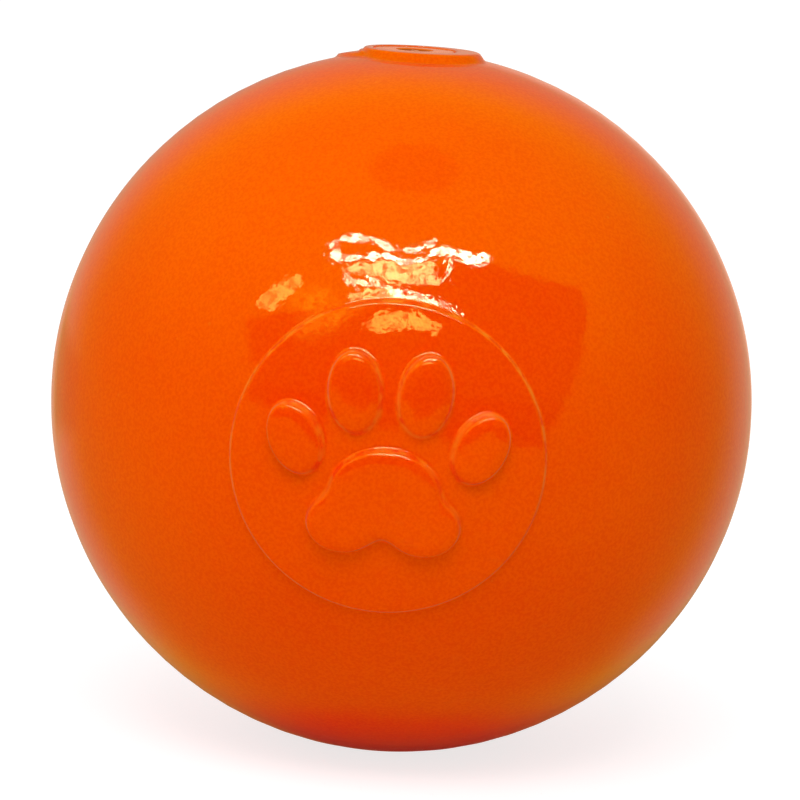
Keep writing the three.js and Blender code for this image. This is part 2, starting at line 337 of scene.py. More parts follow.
def clean_solid(mesh):
    """Merges points that coincide and turns all faces outwards."""
    solid = bmesh.new()
    solid.from_mesh(mesh)
    bmesh.ops.remove_doubles(solid, verts=solid.verts, dist=MERGE_DISTANCE)
    bmesh.ops.recalc_face_normals(solid, faces=solid.faces)
    solid.to_mesh(mesh)
    solid.free()


# Ball shell

FAR_SPACING = math.radians(4.0)  # between grid lines away from the badge
FACE_SPACING = math.radians(0.6)  # on the badge's bare face
PAW_SPACING = math.radians(0.25)  # on the paw print
RIM_SPACING = math.radians(0.15)  # on the badge's rim
RIM_REACH = math.radians(0.5)  # half-width of the band of closest lines
PAW_END = 0.8, 0.9  # where the paw print's spacing ends, as shares of the badge's rim
FAR_START = 1.05, 2.2  # where the far spacing begins, likewise
CIRCLES_END = 1.06, 2.5  # where circles about the badge give way to latitudes, likewise
LADDER_TICKS = 20001
LEAST_GRADIENT = 1e-9
SHOULDER_STEPS = 29
SHOULDER_CROWDING = 1.5  # power that draws the shoulder's rings towards the boss
FOOT_RINGS = 0.4, 0.8  # shares of the foot's radius
BOSS_RINGS = 1 / 3, 2 / 3  # shares of the boss's height
CAVITY_STEPS = 25
GLINT_ATTRIBUTE = "edge_glint_share"  # attribute of the ball's mesh that holds the share of the painted highlight along the raised edges


def ladder(limit, rim):
    """Angles from 0 to limit: close together over the paw print, closest at the badge's rim and
    wide beyond it. They are equal steps of the running sum of 1 / spacing."""
    angles = np.linspace(0, limit, LADDER_TICKS)
    spacing = PAW_SPACING + (FACE_SPACING - PAW_SPACING) * smoothstep(*PAW_END, angles / rim)
    spacing = spacing + (FAR_SPACING - FACE_SPACING) * smoothstep(*FAR_START, angles / rim)
    near_rim = smoothstep(RIM_REACH, 3 * RIM_REACH, np.abs(angles - rim))
    spacing = RIM_SPACING + (spacing - RIM_SPACING) * near_rim
    density = 1 / spacing
    ticks = np.append(0, np.cumsum((density[1:] + density[:-1]) / 2 * np.diff(angles)))
    return np.interp(np.linspace(0, ticks[-1], math.ceil(ticks[-1]) + 1), ticks, angles)


def ball_directions(azimuths, latitudes, rim):
    """Unit vectors of the ball's grid. Away from the badge they are plain azimuth and latitude.
    Over the badge the square rings of the grid, on which the larger of |azimuth| and |latitude| is
    constant, are drawn into circles about the badge's axis, so that grid lines follow its rim. A
    smoothstep runs from one to the other."""
    a, b = np.meshgrid(azimuths, latitudes)
    plain = np.stack([np.cos(b) * np.sin(a), -np.cos(b) * np.cos(a), np.sin(b)], axis=-1)
    reach = np.maximum(np.abs(a), np.abs(b))
    turn = np.arctan2(b, a)
    across, up = np.sin(reach) * np.cos(turn), np.sin(reach) * np.sin(turn)
    circles = np.stack([across, -np.cos(reach), up], axis=-1)
    share = 1 - smoothstep(*CIRCLES_END, reach / rim)[..., None]
    mixed = plain + (circles - plain) * share
    return mixed / np.linalg.norm(mixed, axis=-1, keepdims=True)


def ellipse_distance(x, z, centre, width, height, lean=0.0):
    """Distance to an ellipse's edge, negative inside: k (k - 1) / g, where k is the point's radius
    in units of the ellipse and g is the length of that radius's gradient times k."""
    dx, dz = x - centre[0], z - centre[1]
    u = (dx * math.cos(lean) - dz * math.sin(lean)) / (width / 2)
    v = (dx * math.sin(lean) + dz * math.cos(lean)) / (height / 2)
    k = np.hypot(u, v)
    g = np.hypot(u / (width / 2), v / (height / 2))
    return k * (k - 1) / np.maximum(g, LEAST_GRADIENT)


def soft_least(a, b, blend):
    """The lesser of two distances, rounded where they cross: a polynomial smooth minimum."""
    share = np.clip(0.5 + 0.5 * (b - a) / blend, 0, 1)
    return b + (a - b) * share - blend * share * (1 - share)


def paw_distance(x, z, badge):
    """Distance to the paw print's edge, negative inside: four leaning toes, and a palm of three
    lobes that run together."""
    palm = ellipse_distance(x, z, (0, -badge.palm_drop), badge.palm_width, badge.palm_height)
    toes = []
    for side in (-1, 1):
        lobe_centre = (side * badge.lobe_spacing / 2, -badge.lobe_drop)
        lobe = ellipse_distance(x, z, lobe_centre, badge.lobe_width, badge.lobe_height)
        palm = soft_least(palm, lobe, badge.palm_blend)
        for toe in ("inner_toe", "outer_toe"):
            parts = ("spacing", "height", "width", "length", "lean")
            spacing, height, width, reach, lean = (getattr(badge, f"{toe}_{part}") for part in parts)
            centre = (side * spacing / 2, height)
            toes.append(ellipse_distance(x, z, centre, width, reach, side * lean))
    return np.minimum(palm, np.min(toes, axis=0))


def dome(ahead, top, face):
    """Distance from the ball's middle to a domed face of radius f whose top is on the badge's axis.
    The dome's own middle is at c on that axis, and at an angle t from it the face is at c cos t +
    sqrt(f^2 - c^2 sin^2 t)."""
    middle = top - face
    return middle * ahead + np.sqrt(face**2 - middle**2 * (1 - ahead**2))


def inside_paw(directions, radius, badge):
    """Distance from a direction's point on the ball inwards from the paw print's edge."""
    return -paw_distance(radius * directions[..., 0], radius * directions[..., 2], badge)


def badge_shares(directions, radius, badge):
    """How far a direction is on the badge and on its paw print, each from 0 to 1 by a smoothstep
    across its edge."""
    ahead = -directions[..., 1]
    arc = radius * np.arccos(np.clip(ahead, -1, 1))
    edge_arc = radius * math.asin(badge.diameter / 2 / radius)
    plate = 1 - smoothstep(edge_arc - badge.rim / 2, edge_arc + badge.rim / 2, arc)
    inside = inside_paw(directions, radius, badge)
    paw = smoothstep(-badge.paw_edge / 2, badge.paw_edge / 2, inside) * (ahead > 0)
    return plate, paw


def badge_height(directions, radius, badge):
    """Height of the badge and its paw print above the ball. Both faces are domes, and each is
    brought down across its edge: the badge's to the ball, the paw print's to the badge. The paw
    print's face also falls off towards its edge as a parabola."""
    ahead = -directions[..., 1]
    half = badge.diameter / 2
    edge = math.sqrt((radius + badge.rise) ** 2 - half**2)
    badge_top = edge + badge.face_radius - math.sqrt(badge.face_radius**2 - half**2)
    face = dome(ahead, badge_top, badge.face_radius)
    near_edge = np.clip(1 - inside_paw(directions, radius, badge) / badge.paw_shoulder, 0, 1)
    paw_face = dome(ahead, badge_top + badge.paw_rise, badge.paw_radius)
    paw_face = paw_face - badge.paw_fall * near_edge**2
    plate, paw = badge_shares(directions, radius, badge)
    return (face - radius) * plate + (paw_face - face) * paw


def edge_glint_share(points, ball, badge):
    """Share of the painted highlight along the raised edges, from 0 to 1: the greater of 4 s (1 - s)
    for the two shares s, and none inside."""
    radius = ball.diameter / 2
    from_middle = points - np.array([0, 0, radius - ball.foot_cut])
    distance = np.linalg.norm(from_middle, axis=-1, keepdims=True)
    shares = np.stack(badge_shares(from_middle / distance, radius, badge))
    outside = distance[..., 0] > radius - ball.wall / 2
    return np.max(4 * shares * (1 - shares), axis=0) * outside


class CrownPlaces:
    """Radii and heights of the ball's crown, from the vent cap outwards and from the boss down, and
    how far the squeaker's socket sits off the boss's centre."""

    def __init__(self, ball, squeaker):
        self.socket_shift, cap = across_box("vent_cap")
        flange = across_box("squeaker_case")[1]
        barb = squeaker.barrel_diameter / 2 + squeaker.barb_height
        self.radius = ball.diameter / 2
        self.centre = self.radius - ball.foot_cut
        self.lip = cap + ball.lip_gap
        self.boss_top = self.lip + ball.rim_width
        self.boss_base = self.boss_top + ball.boss_draft
        pad_shift = math.hypot(ball.pad_left, ball.pad_back)
        self.crown = pad_shift + ball.pad_diameter / 2 + ball.pad_edge
        self.pocket = flange + squeaker.flange_gap
        self.socket = barb + squeaker.flange_gap
        self.collar = self.socket + ball.collar_wall
        self.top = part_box("ball_shell")[1].z
        self.boss_foot = self.centre + math.sqrt(self.radius**2 - self.boss_base**2)
        self.lip_bottom = self.top - ball.lip_thickness
        pocket_depth = squeaker.flange_thickness + 2 * squeaker.flange_gap
        self.pocket_floor = self.lip_bottom - pocket_depth
        self.collar_end = self.pocket_floor - ball.collar_length
        self.cavity = self.radius - ball.wall


def pad_height(x, y, ball):
    """Height of the low pad above the ball, brought down across the edge of its circle by a
    smoothstep."""
    beyond = np.hypot(x + ball.pad_left, y - ball.pad_back) - ball.pad_diameter / 2
    return ball.pad_rise * (1 - smoothstep(-ball.pad_edge / 2, ball.pad_edge / 2, beyond))


def shoulder_rows(place, ball, azimuths):
    """Rings that close in on the boss, closer together near it. Their heights follow the ball and
    the pad, and sweep up to the boss as a parabola."""
    share = np.linspace(1, 0, SHOULDER_STEPS)[1:] ** SHOULDER_CROWDING
    radii = place.boss_base + (place.crown - place.boss_base) * share
    rings = turned(np.stack([radii, 0 * radii, 0 * radii], axis=-1), azimuths)
    near = np.clip(1 - (radii - place.boss_base) / ball.boss_fillet, 0, 1)[:, None]
    height = pad_height(rings[..., 0], rings[..., 1], ball) + ball.boss_fillet / 2 * near**2
    return on_sphere(rings, place.radius + height, place.centre)


def crown_profile(place, ball):
    """From the boss's top edge in through the lip, down the squeaker's socket and round the
    collar's end, as (radius, height, shift) points. Corners that nobody sees are only chamfered."""
    socket = place.socket_shift
    corners = [
        (place.boss_base, place.boss_foot, 0),
        (place.boss_top, place.top, 0),
        (place.lip, place.top, socket),
        (place.lip, place.lip_bottom, socket),
        (place.pocket, place.lip_bottom, socket),
        (place.pocket, place.pocket_floor, socket),
        (place.socket, place.pocket_floor, socket),
        (place.socket, place.collar_end, socket),
        (place.collar, place.collar_end, socket),
        (place.collar, place.lip_bottom, socket),
    ]
    seen = rounded(corners[:4], [[0], [ball.boss_edge], [ball.edge], [0]])
    hidden = rounded(corners[2:], ball.edge, steps=2)
    return np.concatenate([seen[1:-1], hidden[1:-1]])


def cavity_rows(place, azimuths):
    """The inner wall: a ring where the collar meets it, and circles of latitude from there to just
    short of its lowest point."""
    ring = turned([(place.collar, 0, place.socket_shift)], azimuths)
    ring = on_sphere(ring, place.cavity, place.centre)
    start = math.acos((place.collar - 2 * place.socket_shift) / place.cavity)
    angles = np.linspace(start, -math.pi / 2, CAVITY_STEPS)[:-1]
    heights = place.centre + place.cavity * np.sin(angles)
    circles = np.stack([place.cavity * np.cos(angles), heights, np.zeros_like(angles)], axis=-1)
    return np.concatenate([ring, turned(circles, azimuths)])


def ball_points(ball, badge, squeaker):
    """Rows of points of the whole shell, from the foot's middle up the outside, into the crown and
    down the inside, and the two points on the axis that close it."""
    place = CrownPlaces(ball, squeaker)
    rim = math.asin(badge.diameter / 2 / place.radius)
    around = ladder(math.pi, rim)
    azimuths = np.append(-around[:0:-1], around[:-1])
    below = ladder(math.asin(place.centre / place.radius), rim)
    above = ladder(math.acos(place.crown / place.radius), rim)
    directions = ball_directions(azimuths, np.append(-below[:0:-1], above), rim)
    distance = place.radius + badge_height(directions, place.radius, badge)
    outside = directions * distance[..., None] + np.array([0, 0, place.centre])
    foot_radius = math.sqrt(place.radius**2 - place.centre**2)
    foot = turned([(foot_radius * share, 0, 0) for share in FOOT_RINGS], azimuths)
    shoulder = shoulder_rows(place, ball, azimuths)
    crown = turned(crown_profile(place, ball), azimuths)
    wall = [shoulder[-1] + (crown[0] - shoulder[-1]) * share for share in BOSS_RINGS]
    inside = cavity_rows(place, azimuths)
    poles = np.array([[0, 0, 0], [0, 0, place.centre - place.cavity]])
    return np.concatenate([foot, outside, shoulder, wall, crown, inside]), poles


def make_ball(context):
    """The rubber ball with its wall, badge and crown, as one closed surface."""
    settings = context.scene.dog_ball
    grid, poles = ball_points(settings.ball, settings.badge, settings.squeaker)
    rows, columns = grid.shape[:2]
    column = np.arange(columns)
    beside = (column + 1) % columns
    last = (rows - 1) * columns
    first_pole = np.full(columns, rows * columns)
    foot_fan = np.stack([first_pole, beside, column], axis=-1)
    cavity_fan = np.stack([last + column, last + beside, first_pole + 1], axis=-1)
    faces = grid_faces(rows, columns).tolist() + foot_fan.tolist() + cavity_fan.tolist()
    points = np.concatenate([grid.reshape(-1, 3), poles])
    material = rubber_material(settings.finish)
    piece = make_piece("rubber_ball", points, faces, material)
    # Share of the painted highlight along the raised edges, kept on the mesh for the rubber's material
    glint_layer = piece.data.attributes.new(GLINT_ATTRIBUTE, "FLOAT", "POINT")
    glint_layer.data.foreach_set("value", edge_glint_share(points, settings.ball, settings.badge))
    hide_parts("ball_shell")
    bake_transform(piece)
    return piece


# Squeaker pieces


def make_case(context):
    """The flanged, barbed sleeve that the rubber grips."""
    sizes = context.scene.dog_ball.squeaker
    low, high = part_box("squeaker_case")
    axis, flange = across_box("squeaker_case")
    cap = across_box("vent_cap")[1]
    barrel = sizes.barrel_diameter / 2
    bore = barrel - sizes.barrel_wall
    neck_bore = cap - sizes.neck_wall
    flange_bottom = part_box("reed_tube")[1].z + sizes.plug_gap
    flange_top = flange_bottom + sizes.flange_thickness
    profile = [(bore, low.z), (barrel, low.z)]
    for number in range(sizes.barb_count, 0, -1):
        top = flange_bottom - number * sizes.barb_pitch
        profile += [
            (barrel, top - sizes.barb_pitch / 2),
            (barrel + sizes.barb_height, top),
            (barrel, top),
        ]
    profile += [
        (barrel, flange_bottom),
        (flange, flange_bottom),
        (flange, flange_top),
        (cap, flange_top),
        (cap, high.z),
        (neck_bore, high.z),
        (neck_bore, flange_bottom),
        (bore, flange_bottom),
    ]
    material = plastic_material(context.scene.dog_ball.finish)
    piece = make_ring_piece("barbed_case", profile, axis, sizes.edge, material)
    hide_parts("squeaker_case")
    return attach(piece, "squeaker")


def make_cap(context):
    """The round face inside the boss, with the vent in its middle and a plug below it."""
    sizes = context.scene.dog_ball.squeaker
    low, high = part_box("vent_cap")
    axis, cap = across_box("vent_cap")
    vent = sizes.vent_diameter / 2
    plug = cap - sizes.neck_wall - sizes.plug_gap
    disc_bottom = high.z - sizes.cap_thickness
    profile = [
        (vent, low.z),
        (plug, low.z),
        (plug, disc_bottom),
        (cap, disc_bottom),
        (cap, high.z),
        (vent + sizes.vent_chamfer, high.z),
        (vent, high.z - sizes.vent_chamfer),
    ]
    material = plastic_material(context.scene.dog_ball.finish)
    piece = make_ring_piece("vent_face", profile, axis, sizes.edge, material)
    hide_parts("vent_cap")
    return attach(piece, "squeaker")


def make_tube(context):
    """The thin sleeve round the reed pack."""
    sizes = context.scene.dog_ball.squeaker
    low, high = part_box("reed_tube")
    axis, tube = across_box("reed_tube")
    bore = tube - sizes.tube_wall
    profile = [(bore, low.z), (tube, low.z), (tube, high.z), (bore, high.z)]
    material = natural_material(context.scene.dog_ball.finish)
    piece = make_ring_piece("reed_sleeve", profile, axis, sizes.edge, material)
    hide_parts("reed_tube")
    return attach(piece, "squeaker")


BOARD_COLUMNS = 41
BOARD_ROWS = 45
GROOVE_STEPS = 13  # extra grid lines at each wall of the air groove
GROOVE_END_STEPS = 9
CLIP_COLUMNS = 41
CLIP_ROWS = 9


def make_board(context):
    """The half-round bed under the reed. Its face falls away in a straight line below the reed's
    root, and the air groove is a smoothstep down across its width and at its closed end."""
    sizes = context.scene.dog_ball.squeaker
    (low, high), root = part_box("tone_board"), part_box("reed_clip")[0].z
    radius, face, half = -low.y, high.y, sizes.groove_width / 2
    groove_floor = low.z + sizes.groove_end
    wall = sizes.edge / 2
    steep = half / radius + 4 * wall / radius * np.linspace(-1, 1, GROOVE_STEPS)
    across = np.concatenate([np.linspace(-1, 1, BOARD_COLUMNS), steep, -steep])
    at_end = groove_floor + 2 * wall * np.linspace(-1, 1, GROOVE_END_STEPS)
    along = np.append(np.linspace(low.z, high.z, BOARD_ROWS), at_end)
    share, z = np.meshgrid(np.unique(across), np.unique(along))
    plane = face - sizes.relief * np.clip((root - z) / (root - low.z), 0, 1)
    x = share * np.sqrt(radius**2 - plane**2)
    in_width = 1 - smoothstep(half - wall, half + wall, np.abs(x))
    in_length = smoothstep(groove_floor - wall, groove_floor + wall, z)
    front = plane - sizes.groove_depth * in_width * in_length
    back = -np.sqrt(radius**2 - x**2)
    material = natural_material(context.scene.dog_ball.finish)
    x += across_box("tone_board")[0]
    piece = make_slab_piece("reed_bed", x, z, front, back, material)
    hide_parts("tone_board")
    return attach(piece, "squeaker")


def make_clip(context):
    """The half-round block that holds the reed's root."""
    low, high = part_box("reed_clip")
    radius, face = high.y, low.y
    turns = np.linspace(-np.pi / 2, np.pi / 2, CLIP_COLUMNS)
    share, z = np.meshgrid(np.sin(turns), np.linspace(low.z, high.z, CLIP_ROWS))
    x = share * math.sqrt(radius**2 - face**2)
    front = np.sqrt(radius**2 - x**2)
    back = np.full_like(x, face)
    material = natural_material(context.scene.dog_ball.finish)
    x += across_box("reed_clip")[0]
    piece = make_slab_piece("reed_wedge", x, z, front, back, material)
    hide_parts("reed_clip")
    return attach(piece, "squeaker")


REED_COLUMNS = 13
REED_ROWS = 81
REED_CROWDING = 1.3  # power that draws the reed's rows towards its tip
TIP_LENGTH = 0.5  # of the reed's round tip, as a share of its half-width
TIP_END = 0.98  # share of that length at which the tip is cut off


def make_reed(context):
    """The strip of film that sounds, with a round tip: its half-width falls off as a quarter
    ellipse at the tip."""
    (low, high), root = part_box("reed"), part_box("reed_clip")[0].z
    axis, half = across_box("reed")
    tip = TIP_LENGTH * half
    rows = low.z + (high.z - low.z) * np.linspace(0, 1, REED_ROWS) ** REED_CROWDING
    share, z = np.meshgrid(np.linspace(-1, 1, REED_COLUMNS), rows)
    past = np.clip((low.z + tip - z) / tip, 0, TIP_END)
    x = axis + share * half * np.sqrt(1 - past**2)
    front, back = np.full_like(x, high.y), np.full_like(x, low.y)
    material = film_material(context.scene.dog_ball.finish)
    piece = make_slab_piece("reed_strip", x, z, front, back, material)
    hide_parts("reed")
    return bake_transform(piece)


# Materials

MIDDLE = 0.3, 0.7  # the part of a noise's range that is spread over 0 to 1


class Nodes:
    """A node tree that is written down one node at a time."""

    def __init__(self, tree):
        self.tree = tree

    def put(self, socket, value):
        """Gives an input socket a value, or links it to an output socket."""
        if isinstance(value, bpy.types.NodeSocket):
            self.tree.links.new(value, socket)
        else:
            socket.default_value = value

    def fill(self, node, inputs):
        """Puts a value or an output socket into each of a node's inputs that is named."""
        for key, value in inputs.items():
            self.put(node.inputs[key], value)

    def add(self, kind, inputs=None, **settings):
        """A node of a kind, with its settings and its inputs."""
        node = self.tree.nodes.new(kind)
        for name, value in settings.items():
            setattr(node, name, value)
        self.fill(node, inputs or {})
        return node

    def group(self, tree, **inputs):
        """The first output of a node group, with its inputs."""
        return self.add("ShaderNodeGroup", inputs, node_tree=tree).outputs[0]

    def place(self):
        """Object coordinates, in metres from the middle of the foot."""
        return self.add("ShaderNodeTexCoord").outputs["Object"]

    def parts(self, vector):
        """The x, y and z of a vector."""
        return self.add("ShaderNodeSeparateXYZ", {0: vector}).outputs

    def grey(self, value):
        """A colour whose red, green and blue are one value."""
        return self.add("ShaderNodeCombineColor", {0: value, 1: value, 2: value}).outputs[0]

    def math(self, operation, *values):
        """The result of a Math node."""
        return self.add("ShaderNodeMath", dict(enumerate(values)), operation=operation).outputs[0]

    def product(self, first, *others):
        """Values multiplied one after the other."""
        for value in others:
            first = self.math("MULTIPLY", first, value)
        return first

    def noise(self, vector, scale, detail=2.0, roughness=0.5):
        """The value of a Noise Texture."""
        inputs = {"Vector": vector, "Scale": scale, "Detail": detail, "Roughness": roughness}
        return self.add("ShaderNodeTexNoise", inputs).outputs["Fac"]

    def between(self, value, low, high, out_low=0.0, out_high=1.0):
        """A value brought from one range to another by a smooth step."""
        inputs = {
            "Value": value,
            "From Min": low,
            "From Max": high,
            "To Min": out_low,
            "To Max": out_high,
        }
        node = self.add("ShaderNodeMapRange", inputs, interpolation_type="SMOOTHSTEP")
        return node.outputs["Result"]

    def ramp(self, value, stops):
        """Three values that change together along a smooth curve through stops of (place,
        values)."""
        node = self.add("ShaderNodeValToRGB", {"Fac": value})
        node.color_ramp.interpolation = "CARDINAL"
        elements = node.color_ramp.elements
        for place, values in stops[1:-1]:
            elements.new(place).color = opaque(values)
        elements[0].color = opaque(stops[0][1])
        elements[-1].color = opaque(stops[-1][1])
        return self.add("ShaderNodeSeparateColor", {0: node.outputs["Color"]}).outputs

    def scale(self, vector, factor):
        """A vector or colour times a number."""
        inputs = {0: vector, "Scale": factor}
        return self.add("ShaderNodeVectorMath", inputs, operation="SCALE").outputs[0]

    def bump(self, height, distance, **inputs):
        """The normal of a Bump node at full strength, whose height of 1 is a distance in metres."""
        inputs = {"Strength": 1.0, "Distance": distance, "Height": height, **inputs}
        return self.add("ShaderNodeBump", inputs).outputs[0]

    def mix(self, share, first, second):
        """Two colours mixed."""
        node = self.add("ShaderNodeMix", data_type="RGBA")
        sockets = {socket.identifier: socket for socket in node.inputs}
        self.put(sockets["Factor_Float"], share)
        self.put(sockets["A_Color"], first)
        self.put(sockets["B_Color"], second)
        return next(socket for socket in node.outputs if socket.identifier == "Result_Color")


def opaque(values):
    """A linear colour with full alpha."""
    return (*values, 1.0)


def new_material(name):
    """An empty node material, its nodes and its Principled shader."""
    material = bpy.data.materials.new(name)
    material.use_nodes = True
    return material, Nodes(material.node_tree), material.node_tree.nodes["Principled BSDF"]


def new_group(name, inputs, output):
    """A shader node group with named inputs and one number as its output."""
    group = bpy.data.node_groups.new(name, "ShaderNodeTree")
    for socket, kind in inputs.items():
        group.interface.new_socket(socket, in_out="INPUT", socket_type=f"NodeSocket{kind}")
    group.interface.new_socket(output, in_out="OUTPUT", socket_type="NodeSocketFloat")
    nodes = Nodes(group)
    given = nodes.add("NodeGroupInput").outputs
    result = nodes.add("NodeGroupOutput").inputs[output]
    return group, nodes, given, result


def once(make):
    """Makes a material or a group the first time it is asked for, and gives the same one after
    that."""
    made = {}

    def get(*settings):
        if make.__name__ not in made:
            made[make.__name__] = make(*settings)
        return made[make.__name__]

    return get


SPECK_EDGE = 0.6  # share of a speck's radius over which it fades


@once
def speck_group():
    """Small round specks: a Voronoi cell shows one where its random number is low enough, and the
    speck's radius follows that number."""
    sockets = {"Vector": "Vector", "Scale": "Float", "Share": "Float", "Radius": "Float"}
    group, nodes, given, result = new_group("Specks", sockets, "Mask")
    inputs = {"Vector": given["Vector"], "Scale": given["Scale"]}
    cells = nodes.add("ShaderNodeTexVoronoi", inputs).outputs
    chance = nodes.add("ShaderNodeSeparateColor", {0: cells["Color"]}).outputs[0]
    shown = nodes.math("GREATER_THAN", given["Share"], chance)
    size = nodes.product(given["Radius"], nodes.math("DIVIDE", chance, given["Share"]))
    inside = nodes.math("DIVIDE", nodes.math("SUBTRACT", size, cells["Distance"]), size)
    nodes.put(result, nodes.product(shown, nodes.between(inside, 0.0, SPECK_EDGE)))
    return group


SCUFF_TURN = 0.4, 0.9, 0.3  # radians
SCUFF_STRETCH = 1, 1, 6
SCUFF_RANGE = 0.58, 0.76  # of the stretched noise
PATCH_SCALE = 0.12  # of the wide noise, as a share of the stretched one's
PATCH_RANGE = 0.45, 0.7


@once
def scuff_group():
    """Faint rubbed marks: stretched noise, kept only where a wider noise lets it through."""
    group, nodes, given, result = new_group("Scuffs", {"Vector": "Vector", "Scale": "Float"}, "Mask")
    inputs = {"Vector": given["Vector"], "Rotation": SCUFF_TURN, "Scale": SCUFF_STRETCH}
    slanted = nodes.add("ShaderNodeMapping", inputs).outputs[0]
    streaks = nodes.noise(slanted, given["Scale"], detail=3.0, roughness=0.6)
    wide = nodes.noise(given["Vector"], nodes.product(given["Scale"], PATCH_SCALE))
    streaks = nodes.between(streaks, *SCUFF_RANGE)
    nodes.put(result, nodes.product(streaks, nodes.between(wide, *PATCH_RANGE)))
    return group


COARSE_SCALE = 0.22  # of the coarse grain, as a share of the fine one's
COARSE_SHARE = 0.6


@once
def grain_group():
    """Fine moulded grain: two noises of different size, as a height from 0 to 1."""
    group, nodes, given, result = new_group("Grain", {"Vector": "Vector", "Scale": "Float"}, "Height")
    fine = nodes.noise(given["Vector"], given["Scale"], detail=3.0, roughness=0.6)
    coarse = nodes.noise(given["Vector"], nodes.product(given["Scale"], COARSE_SCALE))
    fine = nodes.product(fine, 1 - COARSE_SHARE)
    nodes.put(result, nodes.math("MULTIPLY_ADD", coarse, COARSE_SHARE, fine))
    return group


# Patterns of the rubber. A scale is in waves or cells per metre.
RUBBER_CLOUDS = 70.0
RUBBER_MOTTLE = 3600.0
MOTTLE_SHARE = 0.7  # of the mottle in the colour, the clouds having the rest
RUBBER_SPECKS = {"Scale": 1400.0, "Share": 0.025, "Radius": 0.3}
RUBBER_SCUFFS = 260.0
SPECK_TINT = 0.14  # how far a speck pales the colour
SCUFF_TINT = 0.06
RUBBER_ROUGHNESS = 0.035
SPECK_ROUGHNESS = 0.1  # added by a speck
SCUFF_ROUGHNESS = 0.12
GLINT_BREAKS = 700.0  # scale of the gaps in the painted highlight along the raised edges
GLINT_RANGE = 0.4, 0.6  # of that noise
GLINT_GROWTH = 20 * MM, 42 * MM, 0.25, 0.95  # two heights, and how strong the painted highlight on the edges is there: stronger higher up, where more light falls
SKIN_WAVES = (140.0, 0.04 * MM), (1250.0, 0.011 * MM), (2600.0, 0.0035 * MM)  # scale, height
RUBBER_GRAIN = 5000.0
RUBBER_GRAIN_HEIGHT = 0.001 * MM


@once
def rubber_material(finish):
    """Glossy orange rubber: light goes in and comes out redder, the skin ripples in low waves from
    the mould, and it carries fine grain, faint scuffs, a few pale specks of dust, a painted
    highlight along the raised edges that is stronger higher up, and a thin bloom that shows towards
    its outline."""
    material, nodes, shader = new_material("orange_rubber")
    place = nodes.place()
    cloud = nodes.between(nodes.noise(place, RUBBER_CLOUDS, detail=3.0, roughness=0.55), *MIDDLE)
    mottle = nodes.between(nodes.noise(place, RUBBER_MOTTLE, detail=1.0), *MIDDLE)
    cloud = nodes.product(cloud, 1 - MOTTLE_SHARE)
    shade = nodes.math("MULTIPLY_ADD", mottle, MOTTLE_SHARE, cloud)
    body = nodes.mix(shade, opaque(finish.rubber_deep), opaque(finish.rubber))
    specks = nodes.group(speck_group(), Vector=place, **RUBBER_SPECKS)
    scuffs = nodes.group(scuff_group(), Vector=place, Scale=RUBBER_SCUFFS)
    dusty = nodes.math("MULTIPLY_ADD", scuffs, SCUFF_TINT, nodes.product(specks, SPECK_TINT))
    dusted = nodes.mix(dusty, body, opaque(finish.dust))
    # Painted highlight along the raised edges: broken by noise, and stronger higher up, where more light
    # falls
    edges = nodes.add("ShaderNodeAttribute", attribute_name=GLINT_ATTRIBUTE).outputs["Fac"]
    glint_gaps = nodes.between(nodes.noise(place, GLINT_BREAKS, detail=3.0), *GLINT_RANGE)
    higher_up = nodes.between(nodes.parts(place)[2], *GLINT_GROWTH)
    painted_glint = nodes.product(glint_gaps, higher_up, edges)
    gloss = nodes.math("MULTIPLY_ADD", scuffs, SCUFF_ROUGHNESS, RUBBER_ROUGHNESS)
    gloss = nodes.math("MULTIPLY_ADD", specks, SPECK_ROUGHNESS, gloss)
    waves = 0.0
    for scale, tall in SKIN_WAVES:
        waves = nodes.math("MULTIPLY_ADD", nodes.noise(place, scale, detail=1.0), tall, waves)
    grain = nodes.group(grain_group(), Vector=place, Scale=RUBBER_GRAIN)
    skin = nodes.bump(grain, RUBBER_GRAIN_HEIGHT, Normal=nodes.bump(waves, 1.0))
    inputs = {
        "Base Color": nodes.mix(painted_glint, dusted, opaque(finish.painted_glint)),
        "Roughness": gloss,
        "Normal": skin,
        "Subsurface Weight": 0.5,
        "Subsurface Radius": (1.0, 0.22, 0.05),
        "Subsurface Scale": 4 * MM,
        "Sheen Weight": 0.42,
        "Sheen Roughness": 0.3,
        "Sheen Tint": opaque(finish.bloom),
    }
    nodes.fill(shader, inputs)
    return material


# Patterns of the plastics, with scales per metre.
PLASTIC_CLOUDS = 500.0
PLASTIC_GRAIN = 7000.0
PLASTIC_SCUFFS = 900.0
PLASTIC_SCUFF_ROUGHNESS = 0.2  # added by a scuff


def plain_material(name, tint, darkest, roughness, grain_height):
    """Moulded plastic: its colour varies in soft clouds down to a darkest share of it, and its skin
    has fine grain and faint scuffs. Gives the material, its nodes, its shader and its colour."""
    material, nodes, shader = new_material(name)
    place = nodes.place()
    cloud = nodes.between(nodes.noise(place, PLASTIC_CLOUDS, detail=3.0), *MIDDLE)
    body = nodes.mix(cloud, opaque([value * darkest for value in tint]), opaque(tint))
    grain = nodes.group(grain_group(), Vector=place, Scale=PLASTIC_GRAIN)
    scuffs = nodes.group(scuff_group(), Vector=place, Scale=PLASTIC_SCUFFS)
    inputs = {
        "Base Color": body,
        "Roughness": nodes.math("MULTIPLY_ADD", scuffs, PLASTIC_SCUFF_ROUGHNESS, roughness),
        "Normal": nodes.bump(grain, grain_height),
    }
    nodes.fill(shader, inputs)
    return material, nodes, shader, body


DARK_VENT = 1.68 * MM  # radius about the vent's axis inside which the plastic is darker
DARK_VENT_EDGE = 0.12 * MM


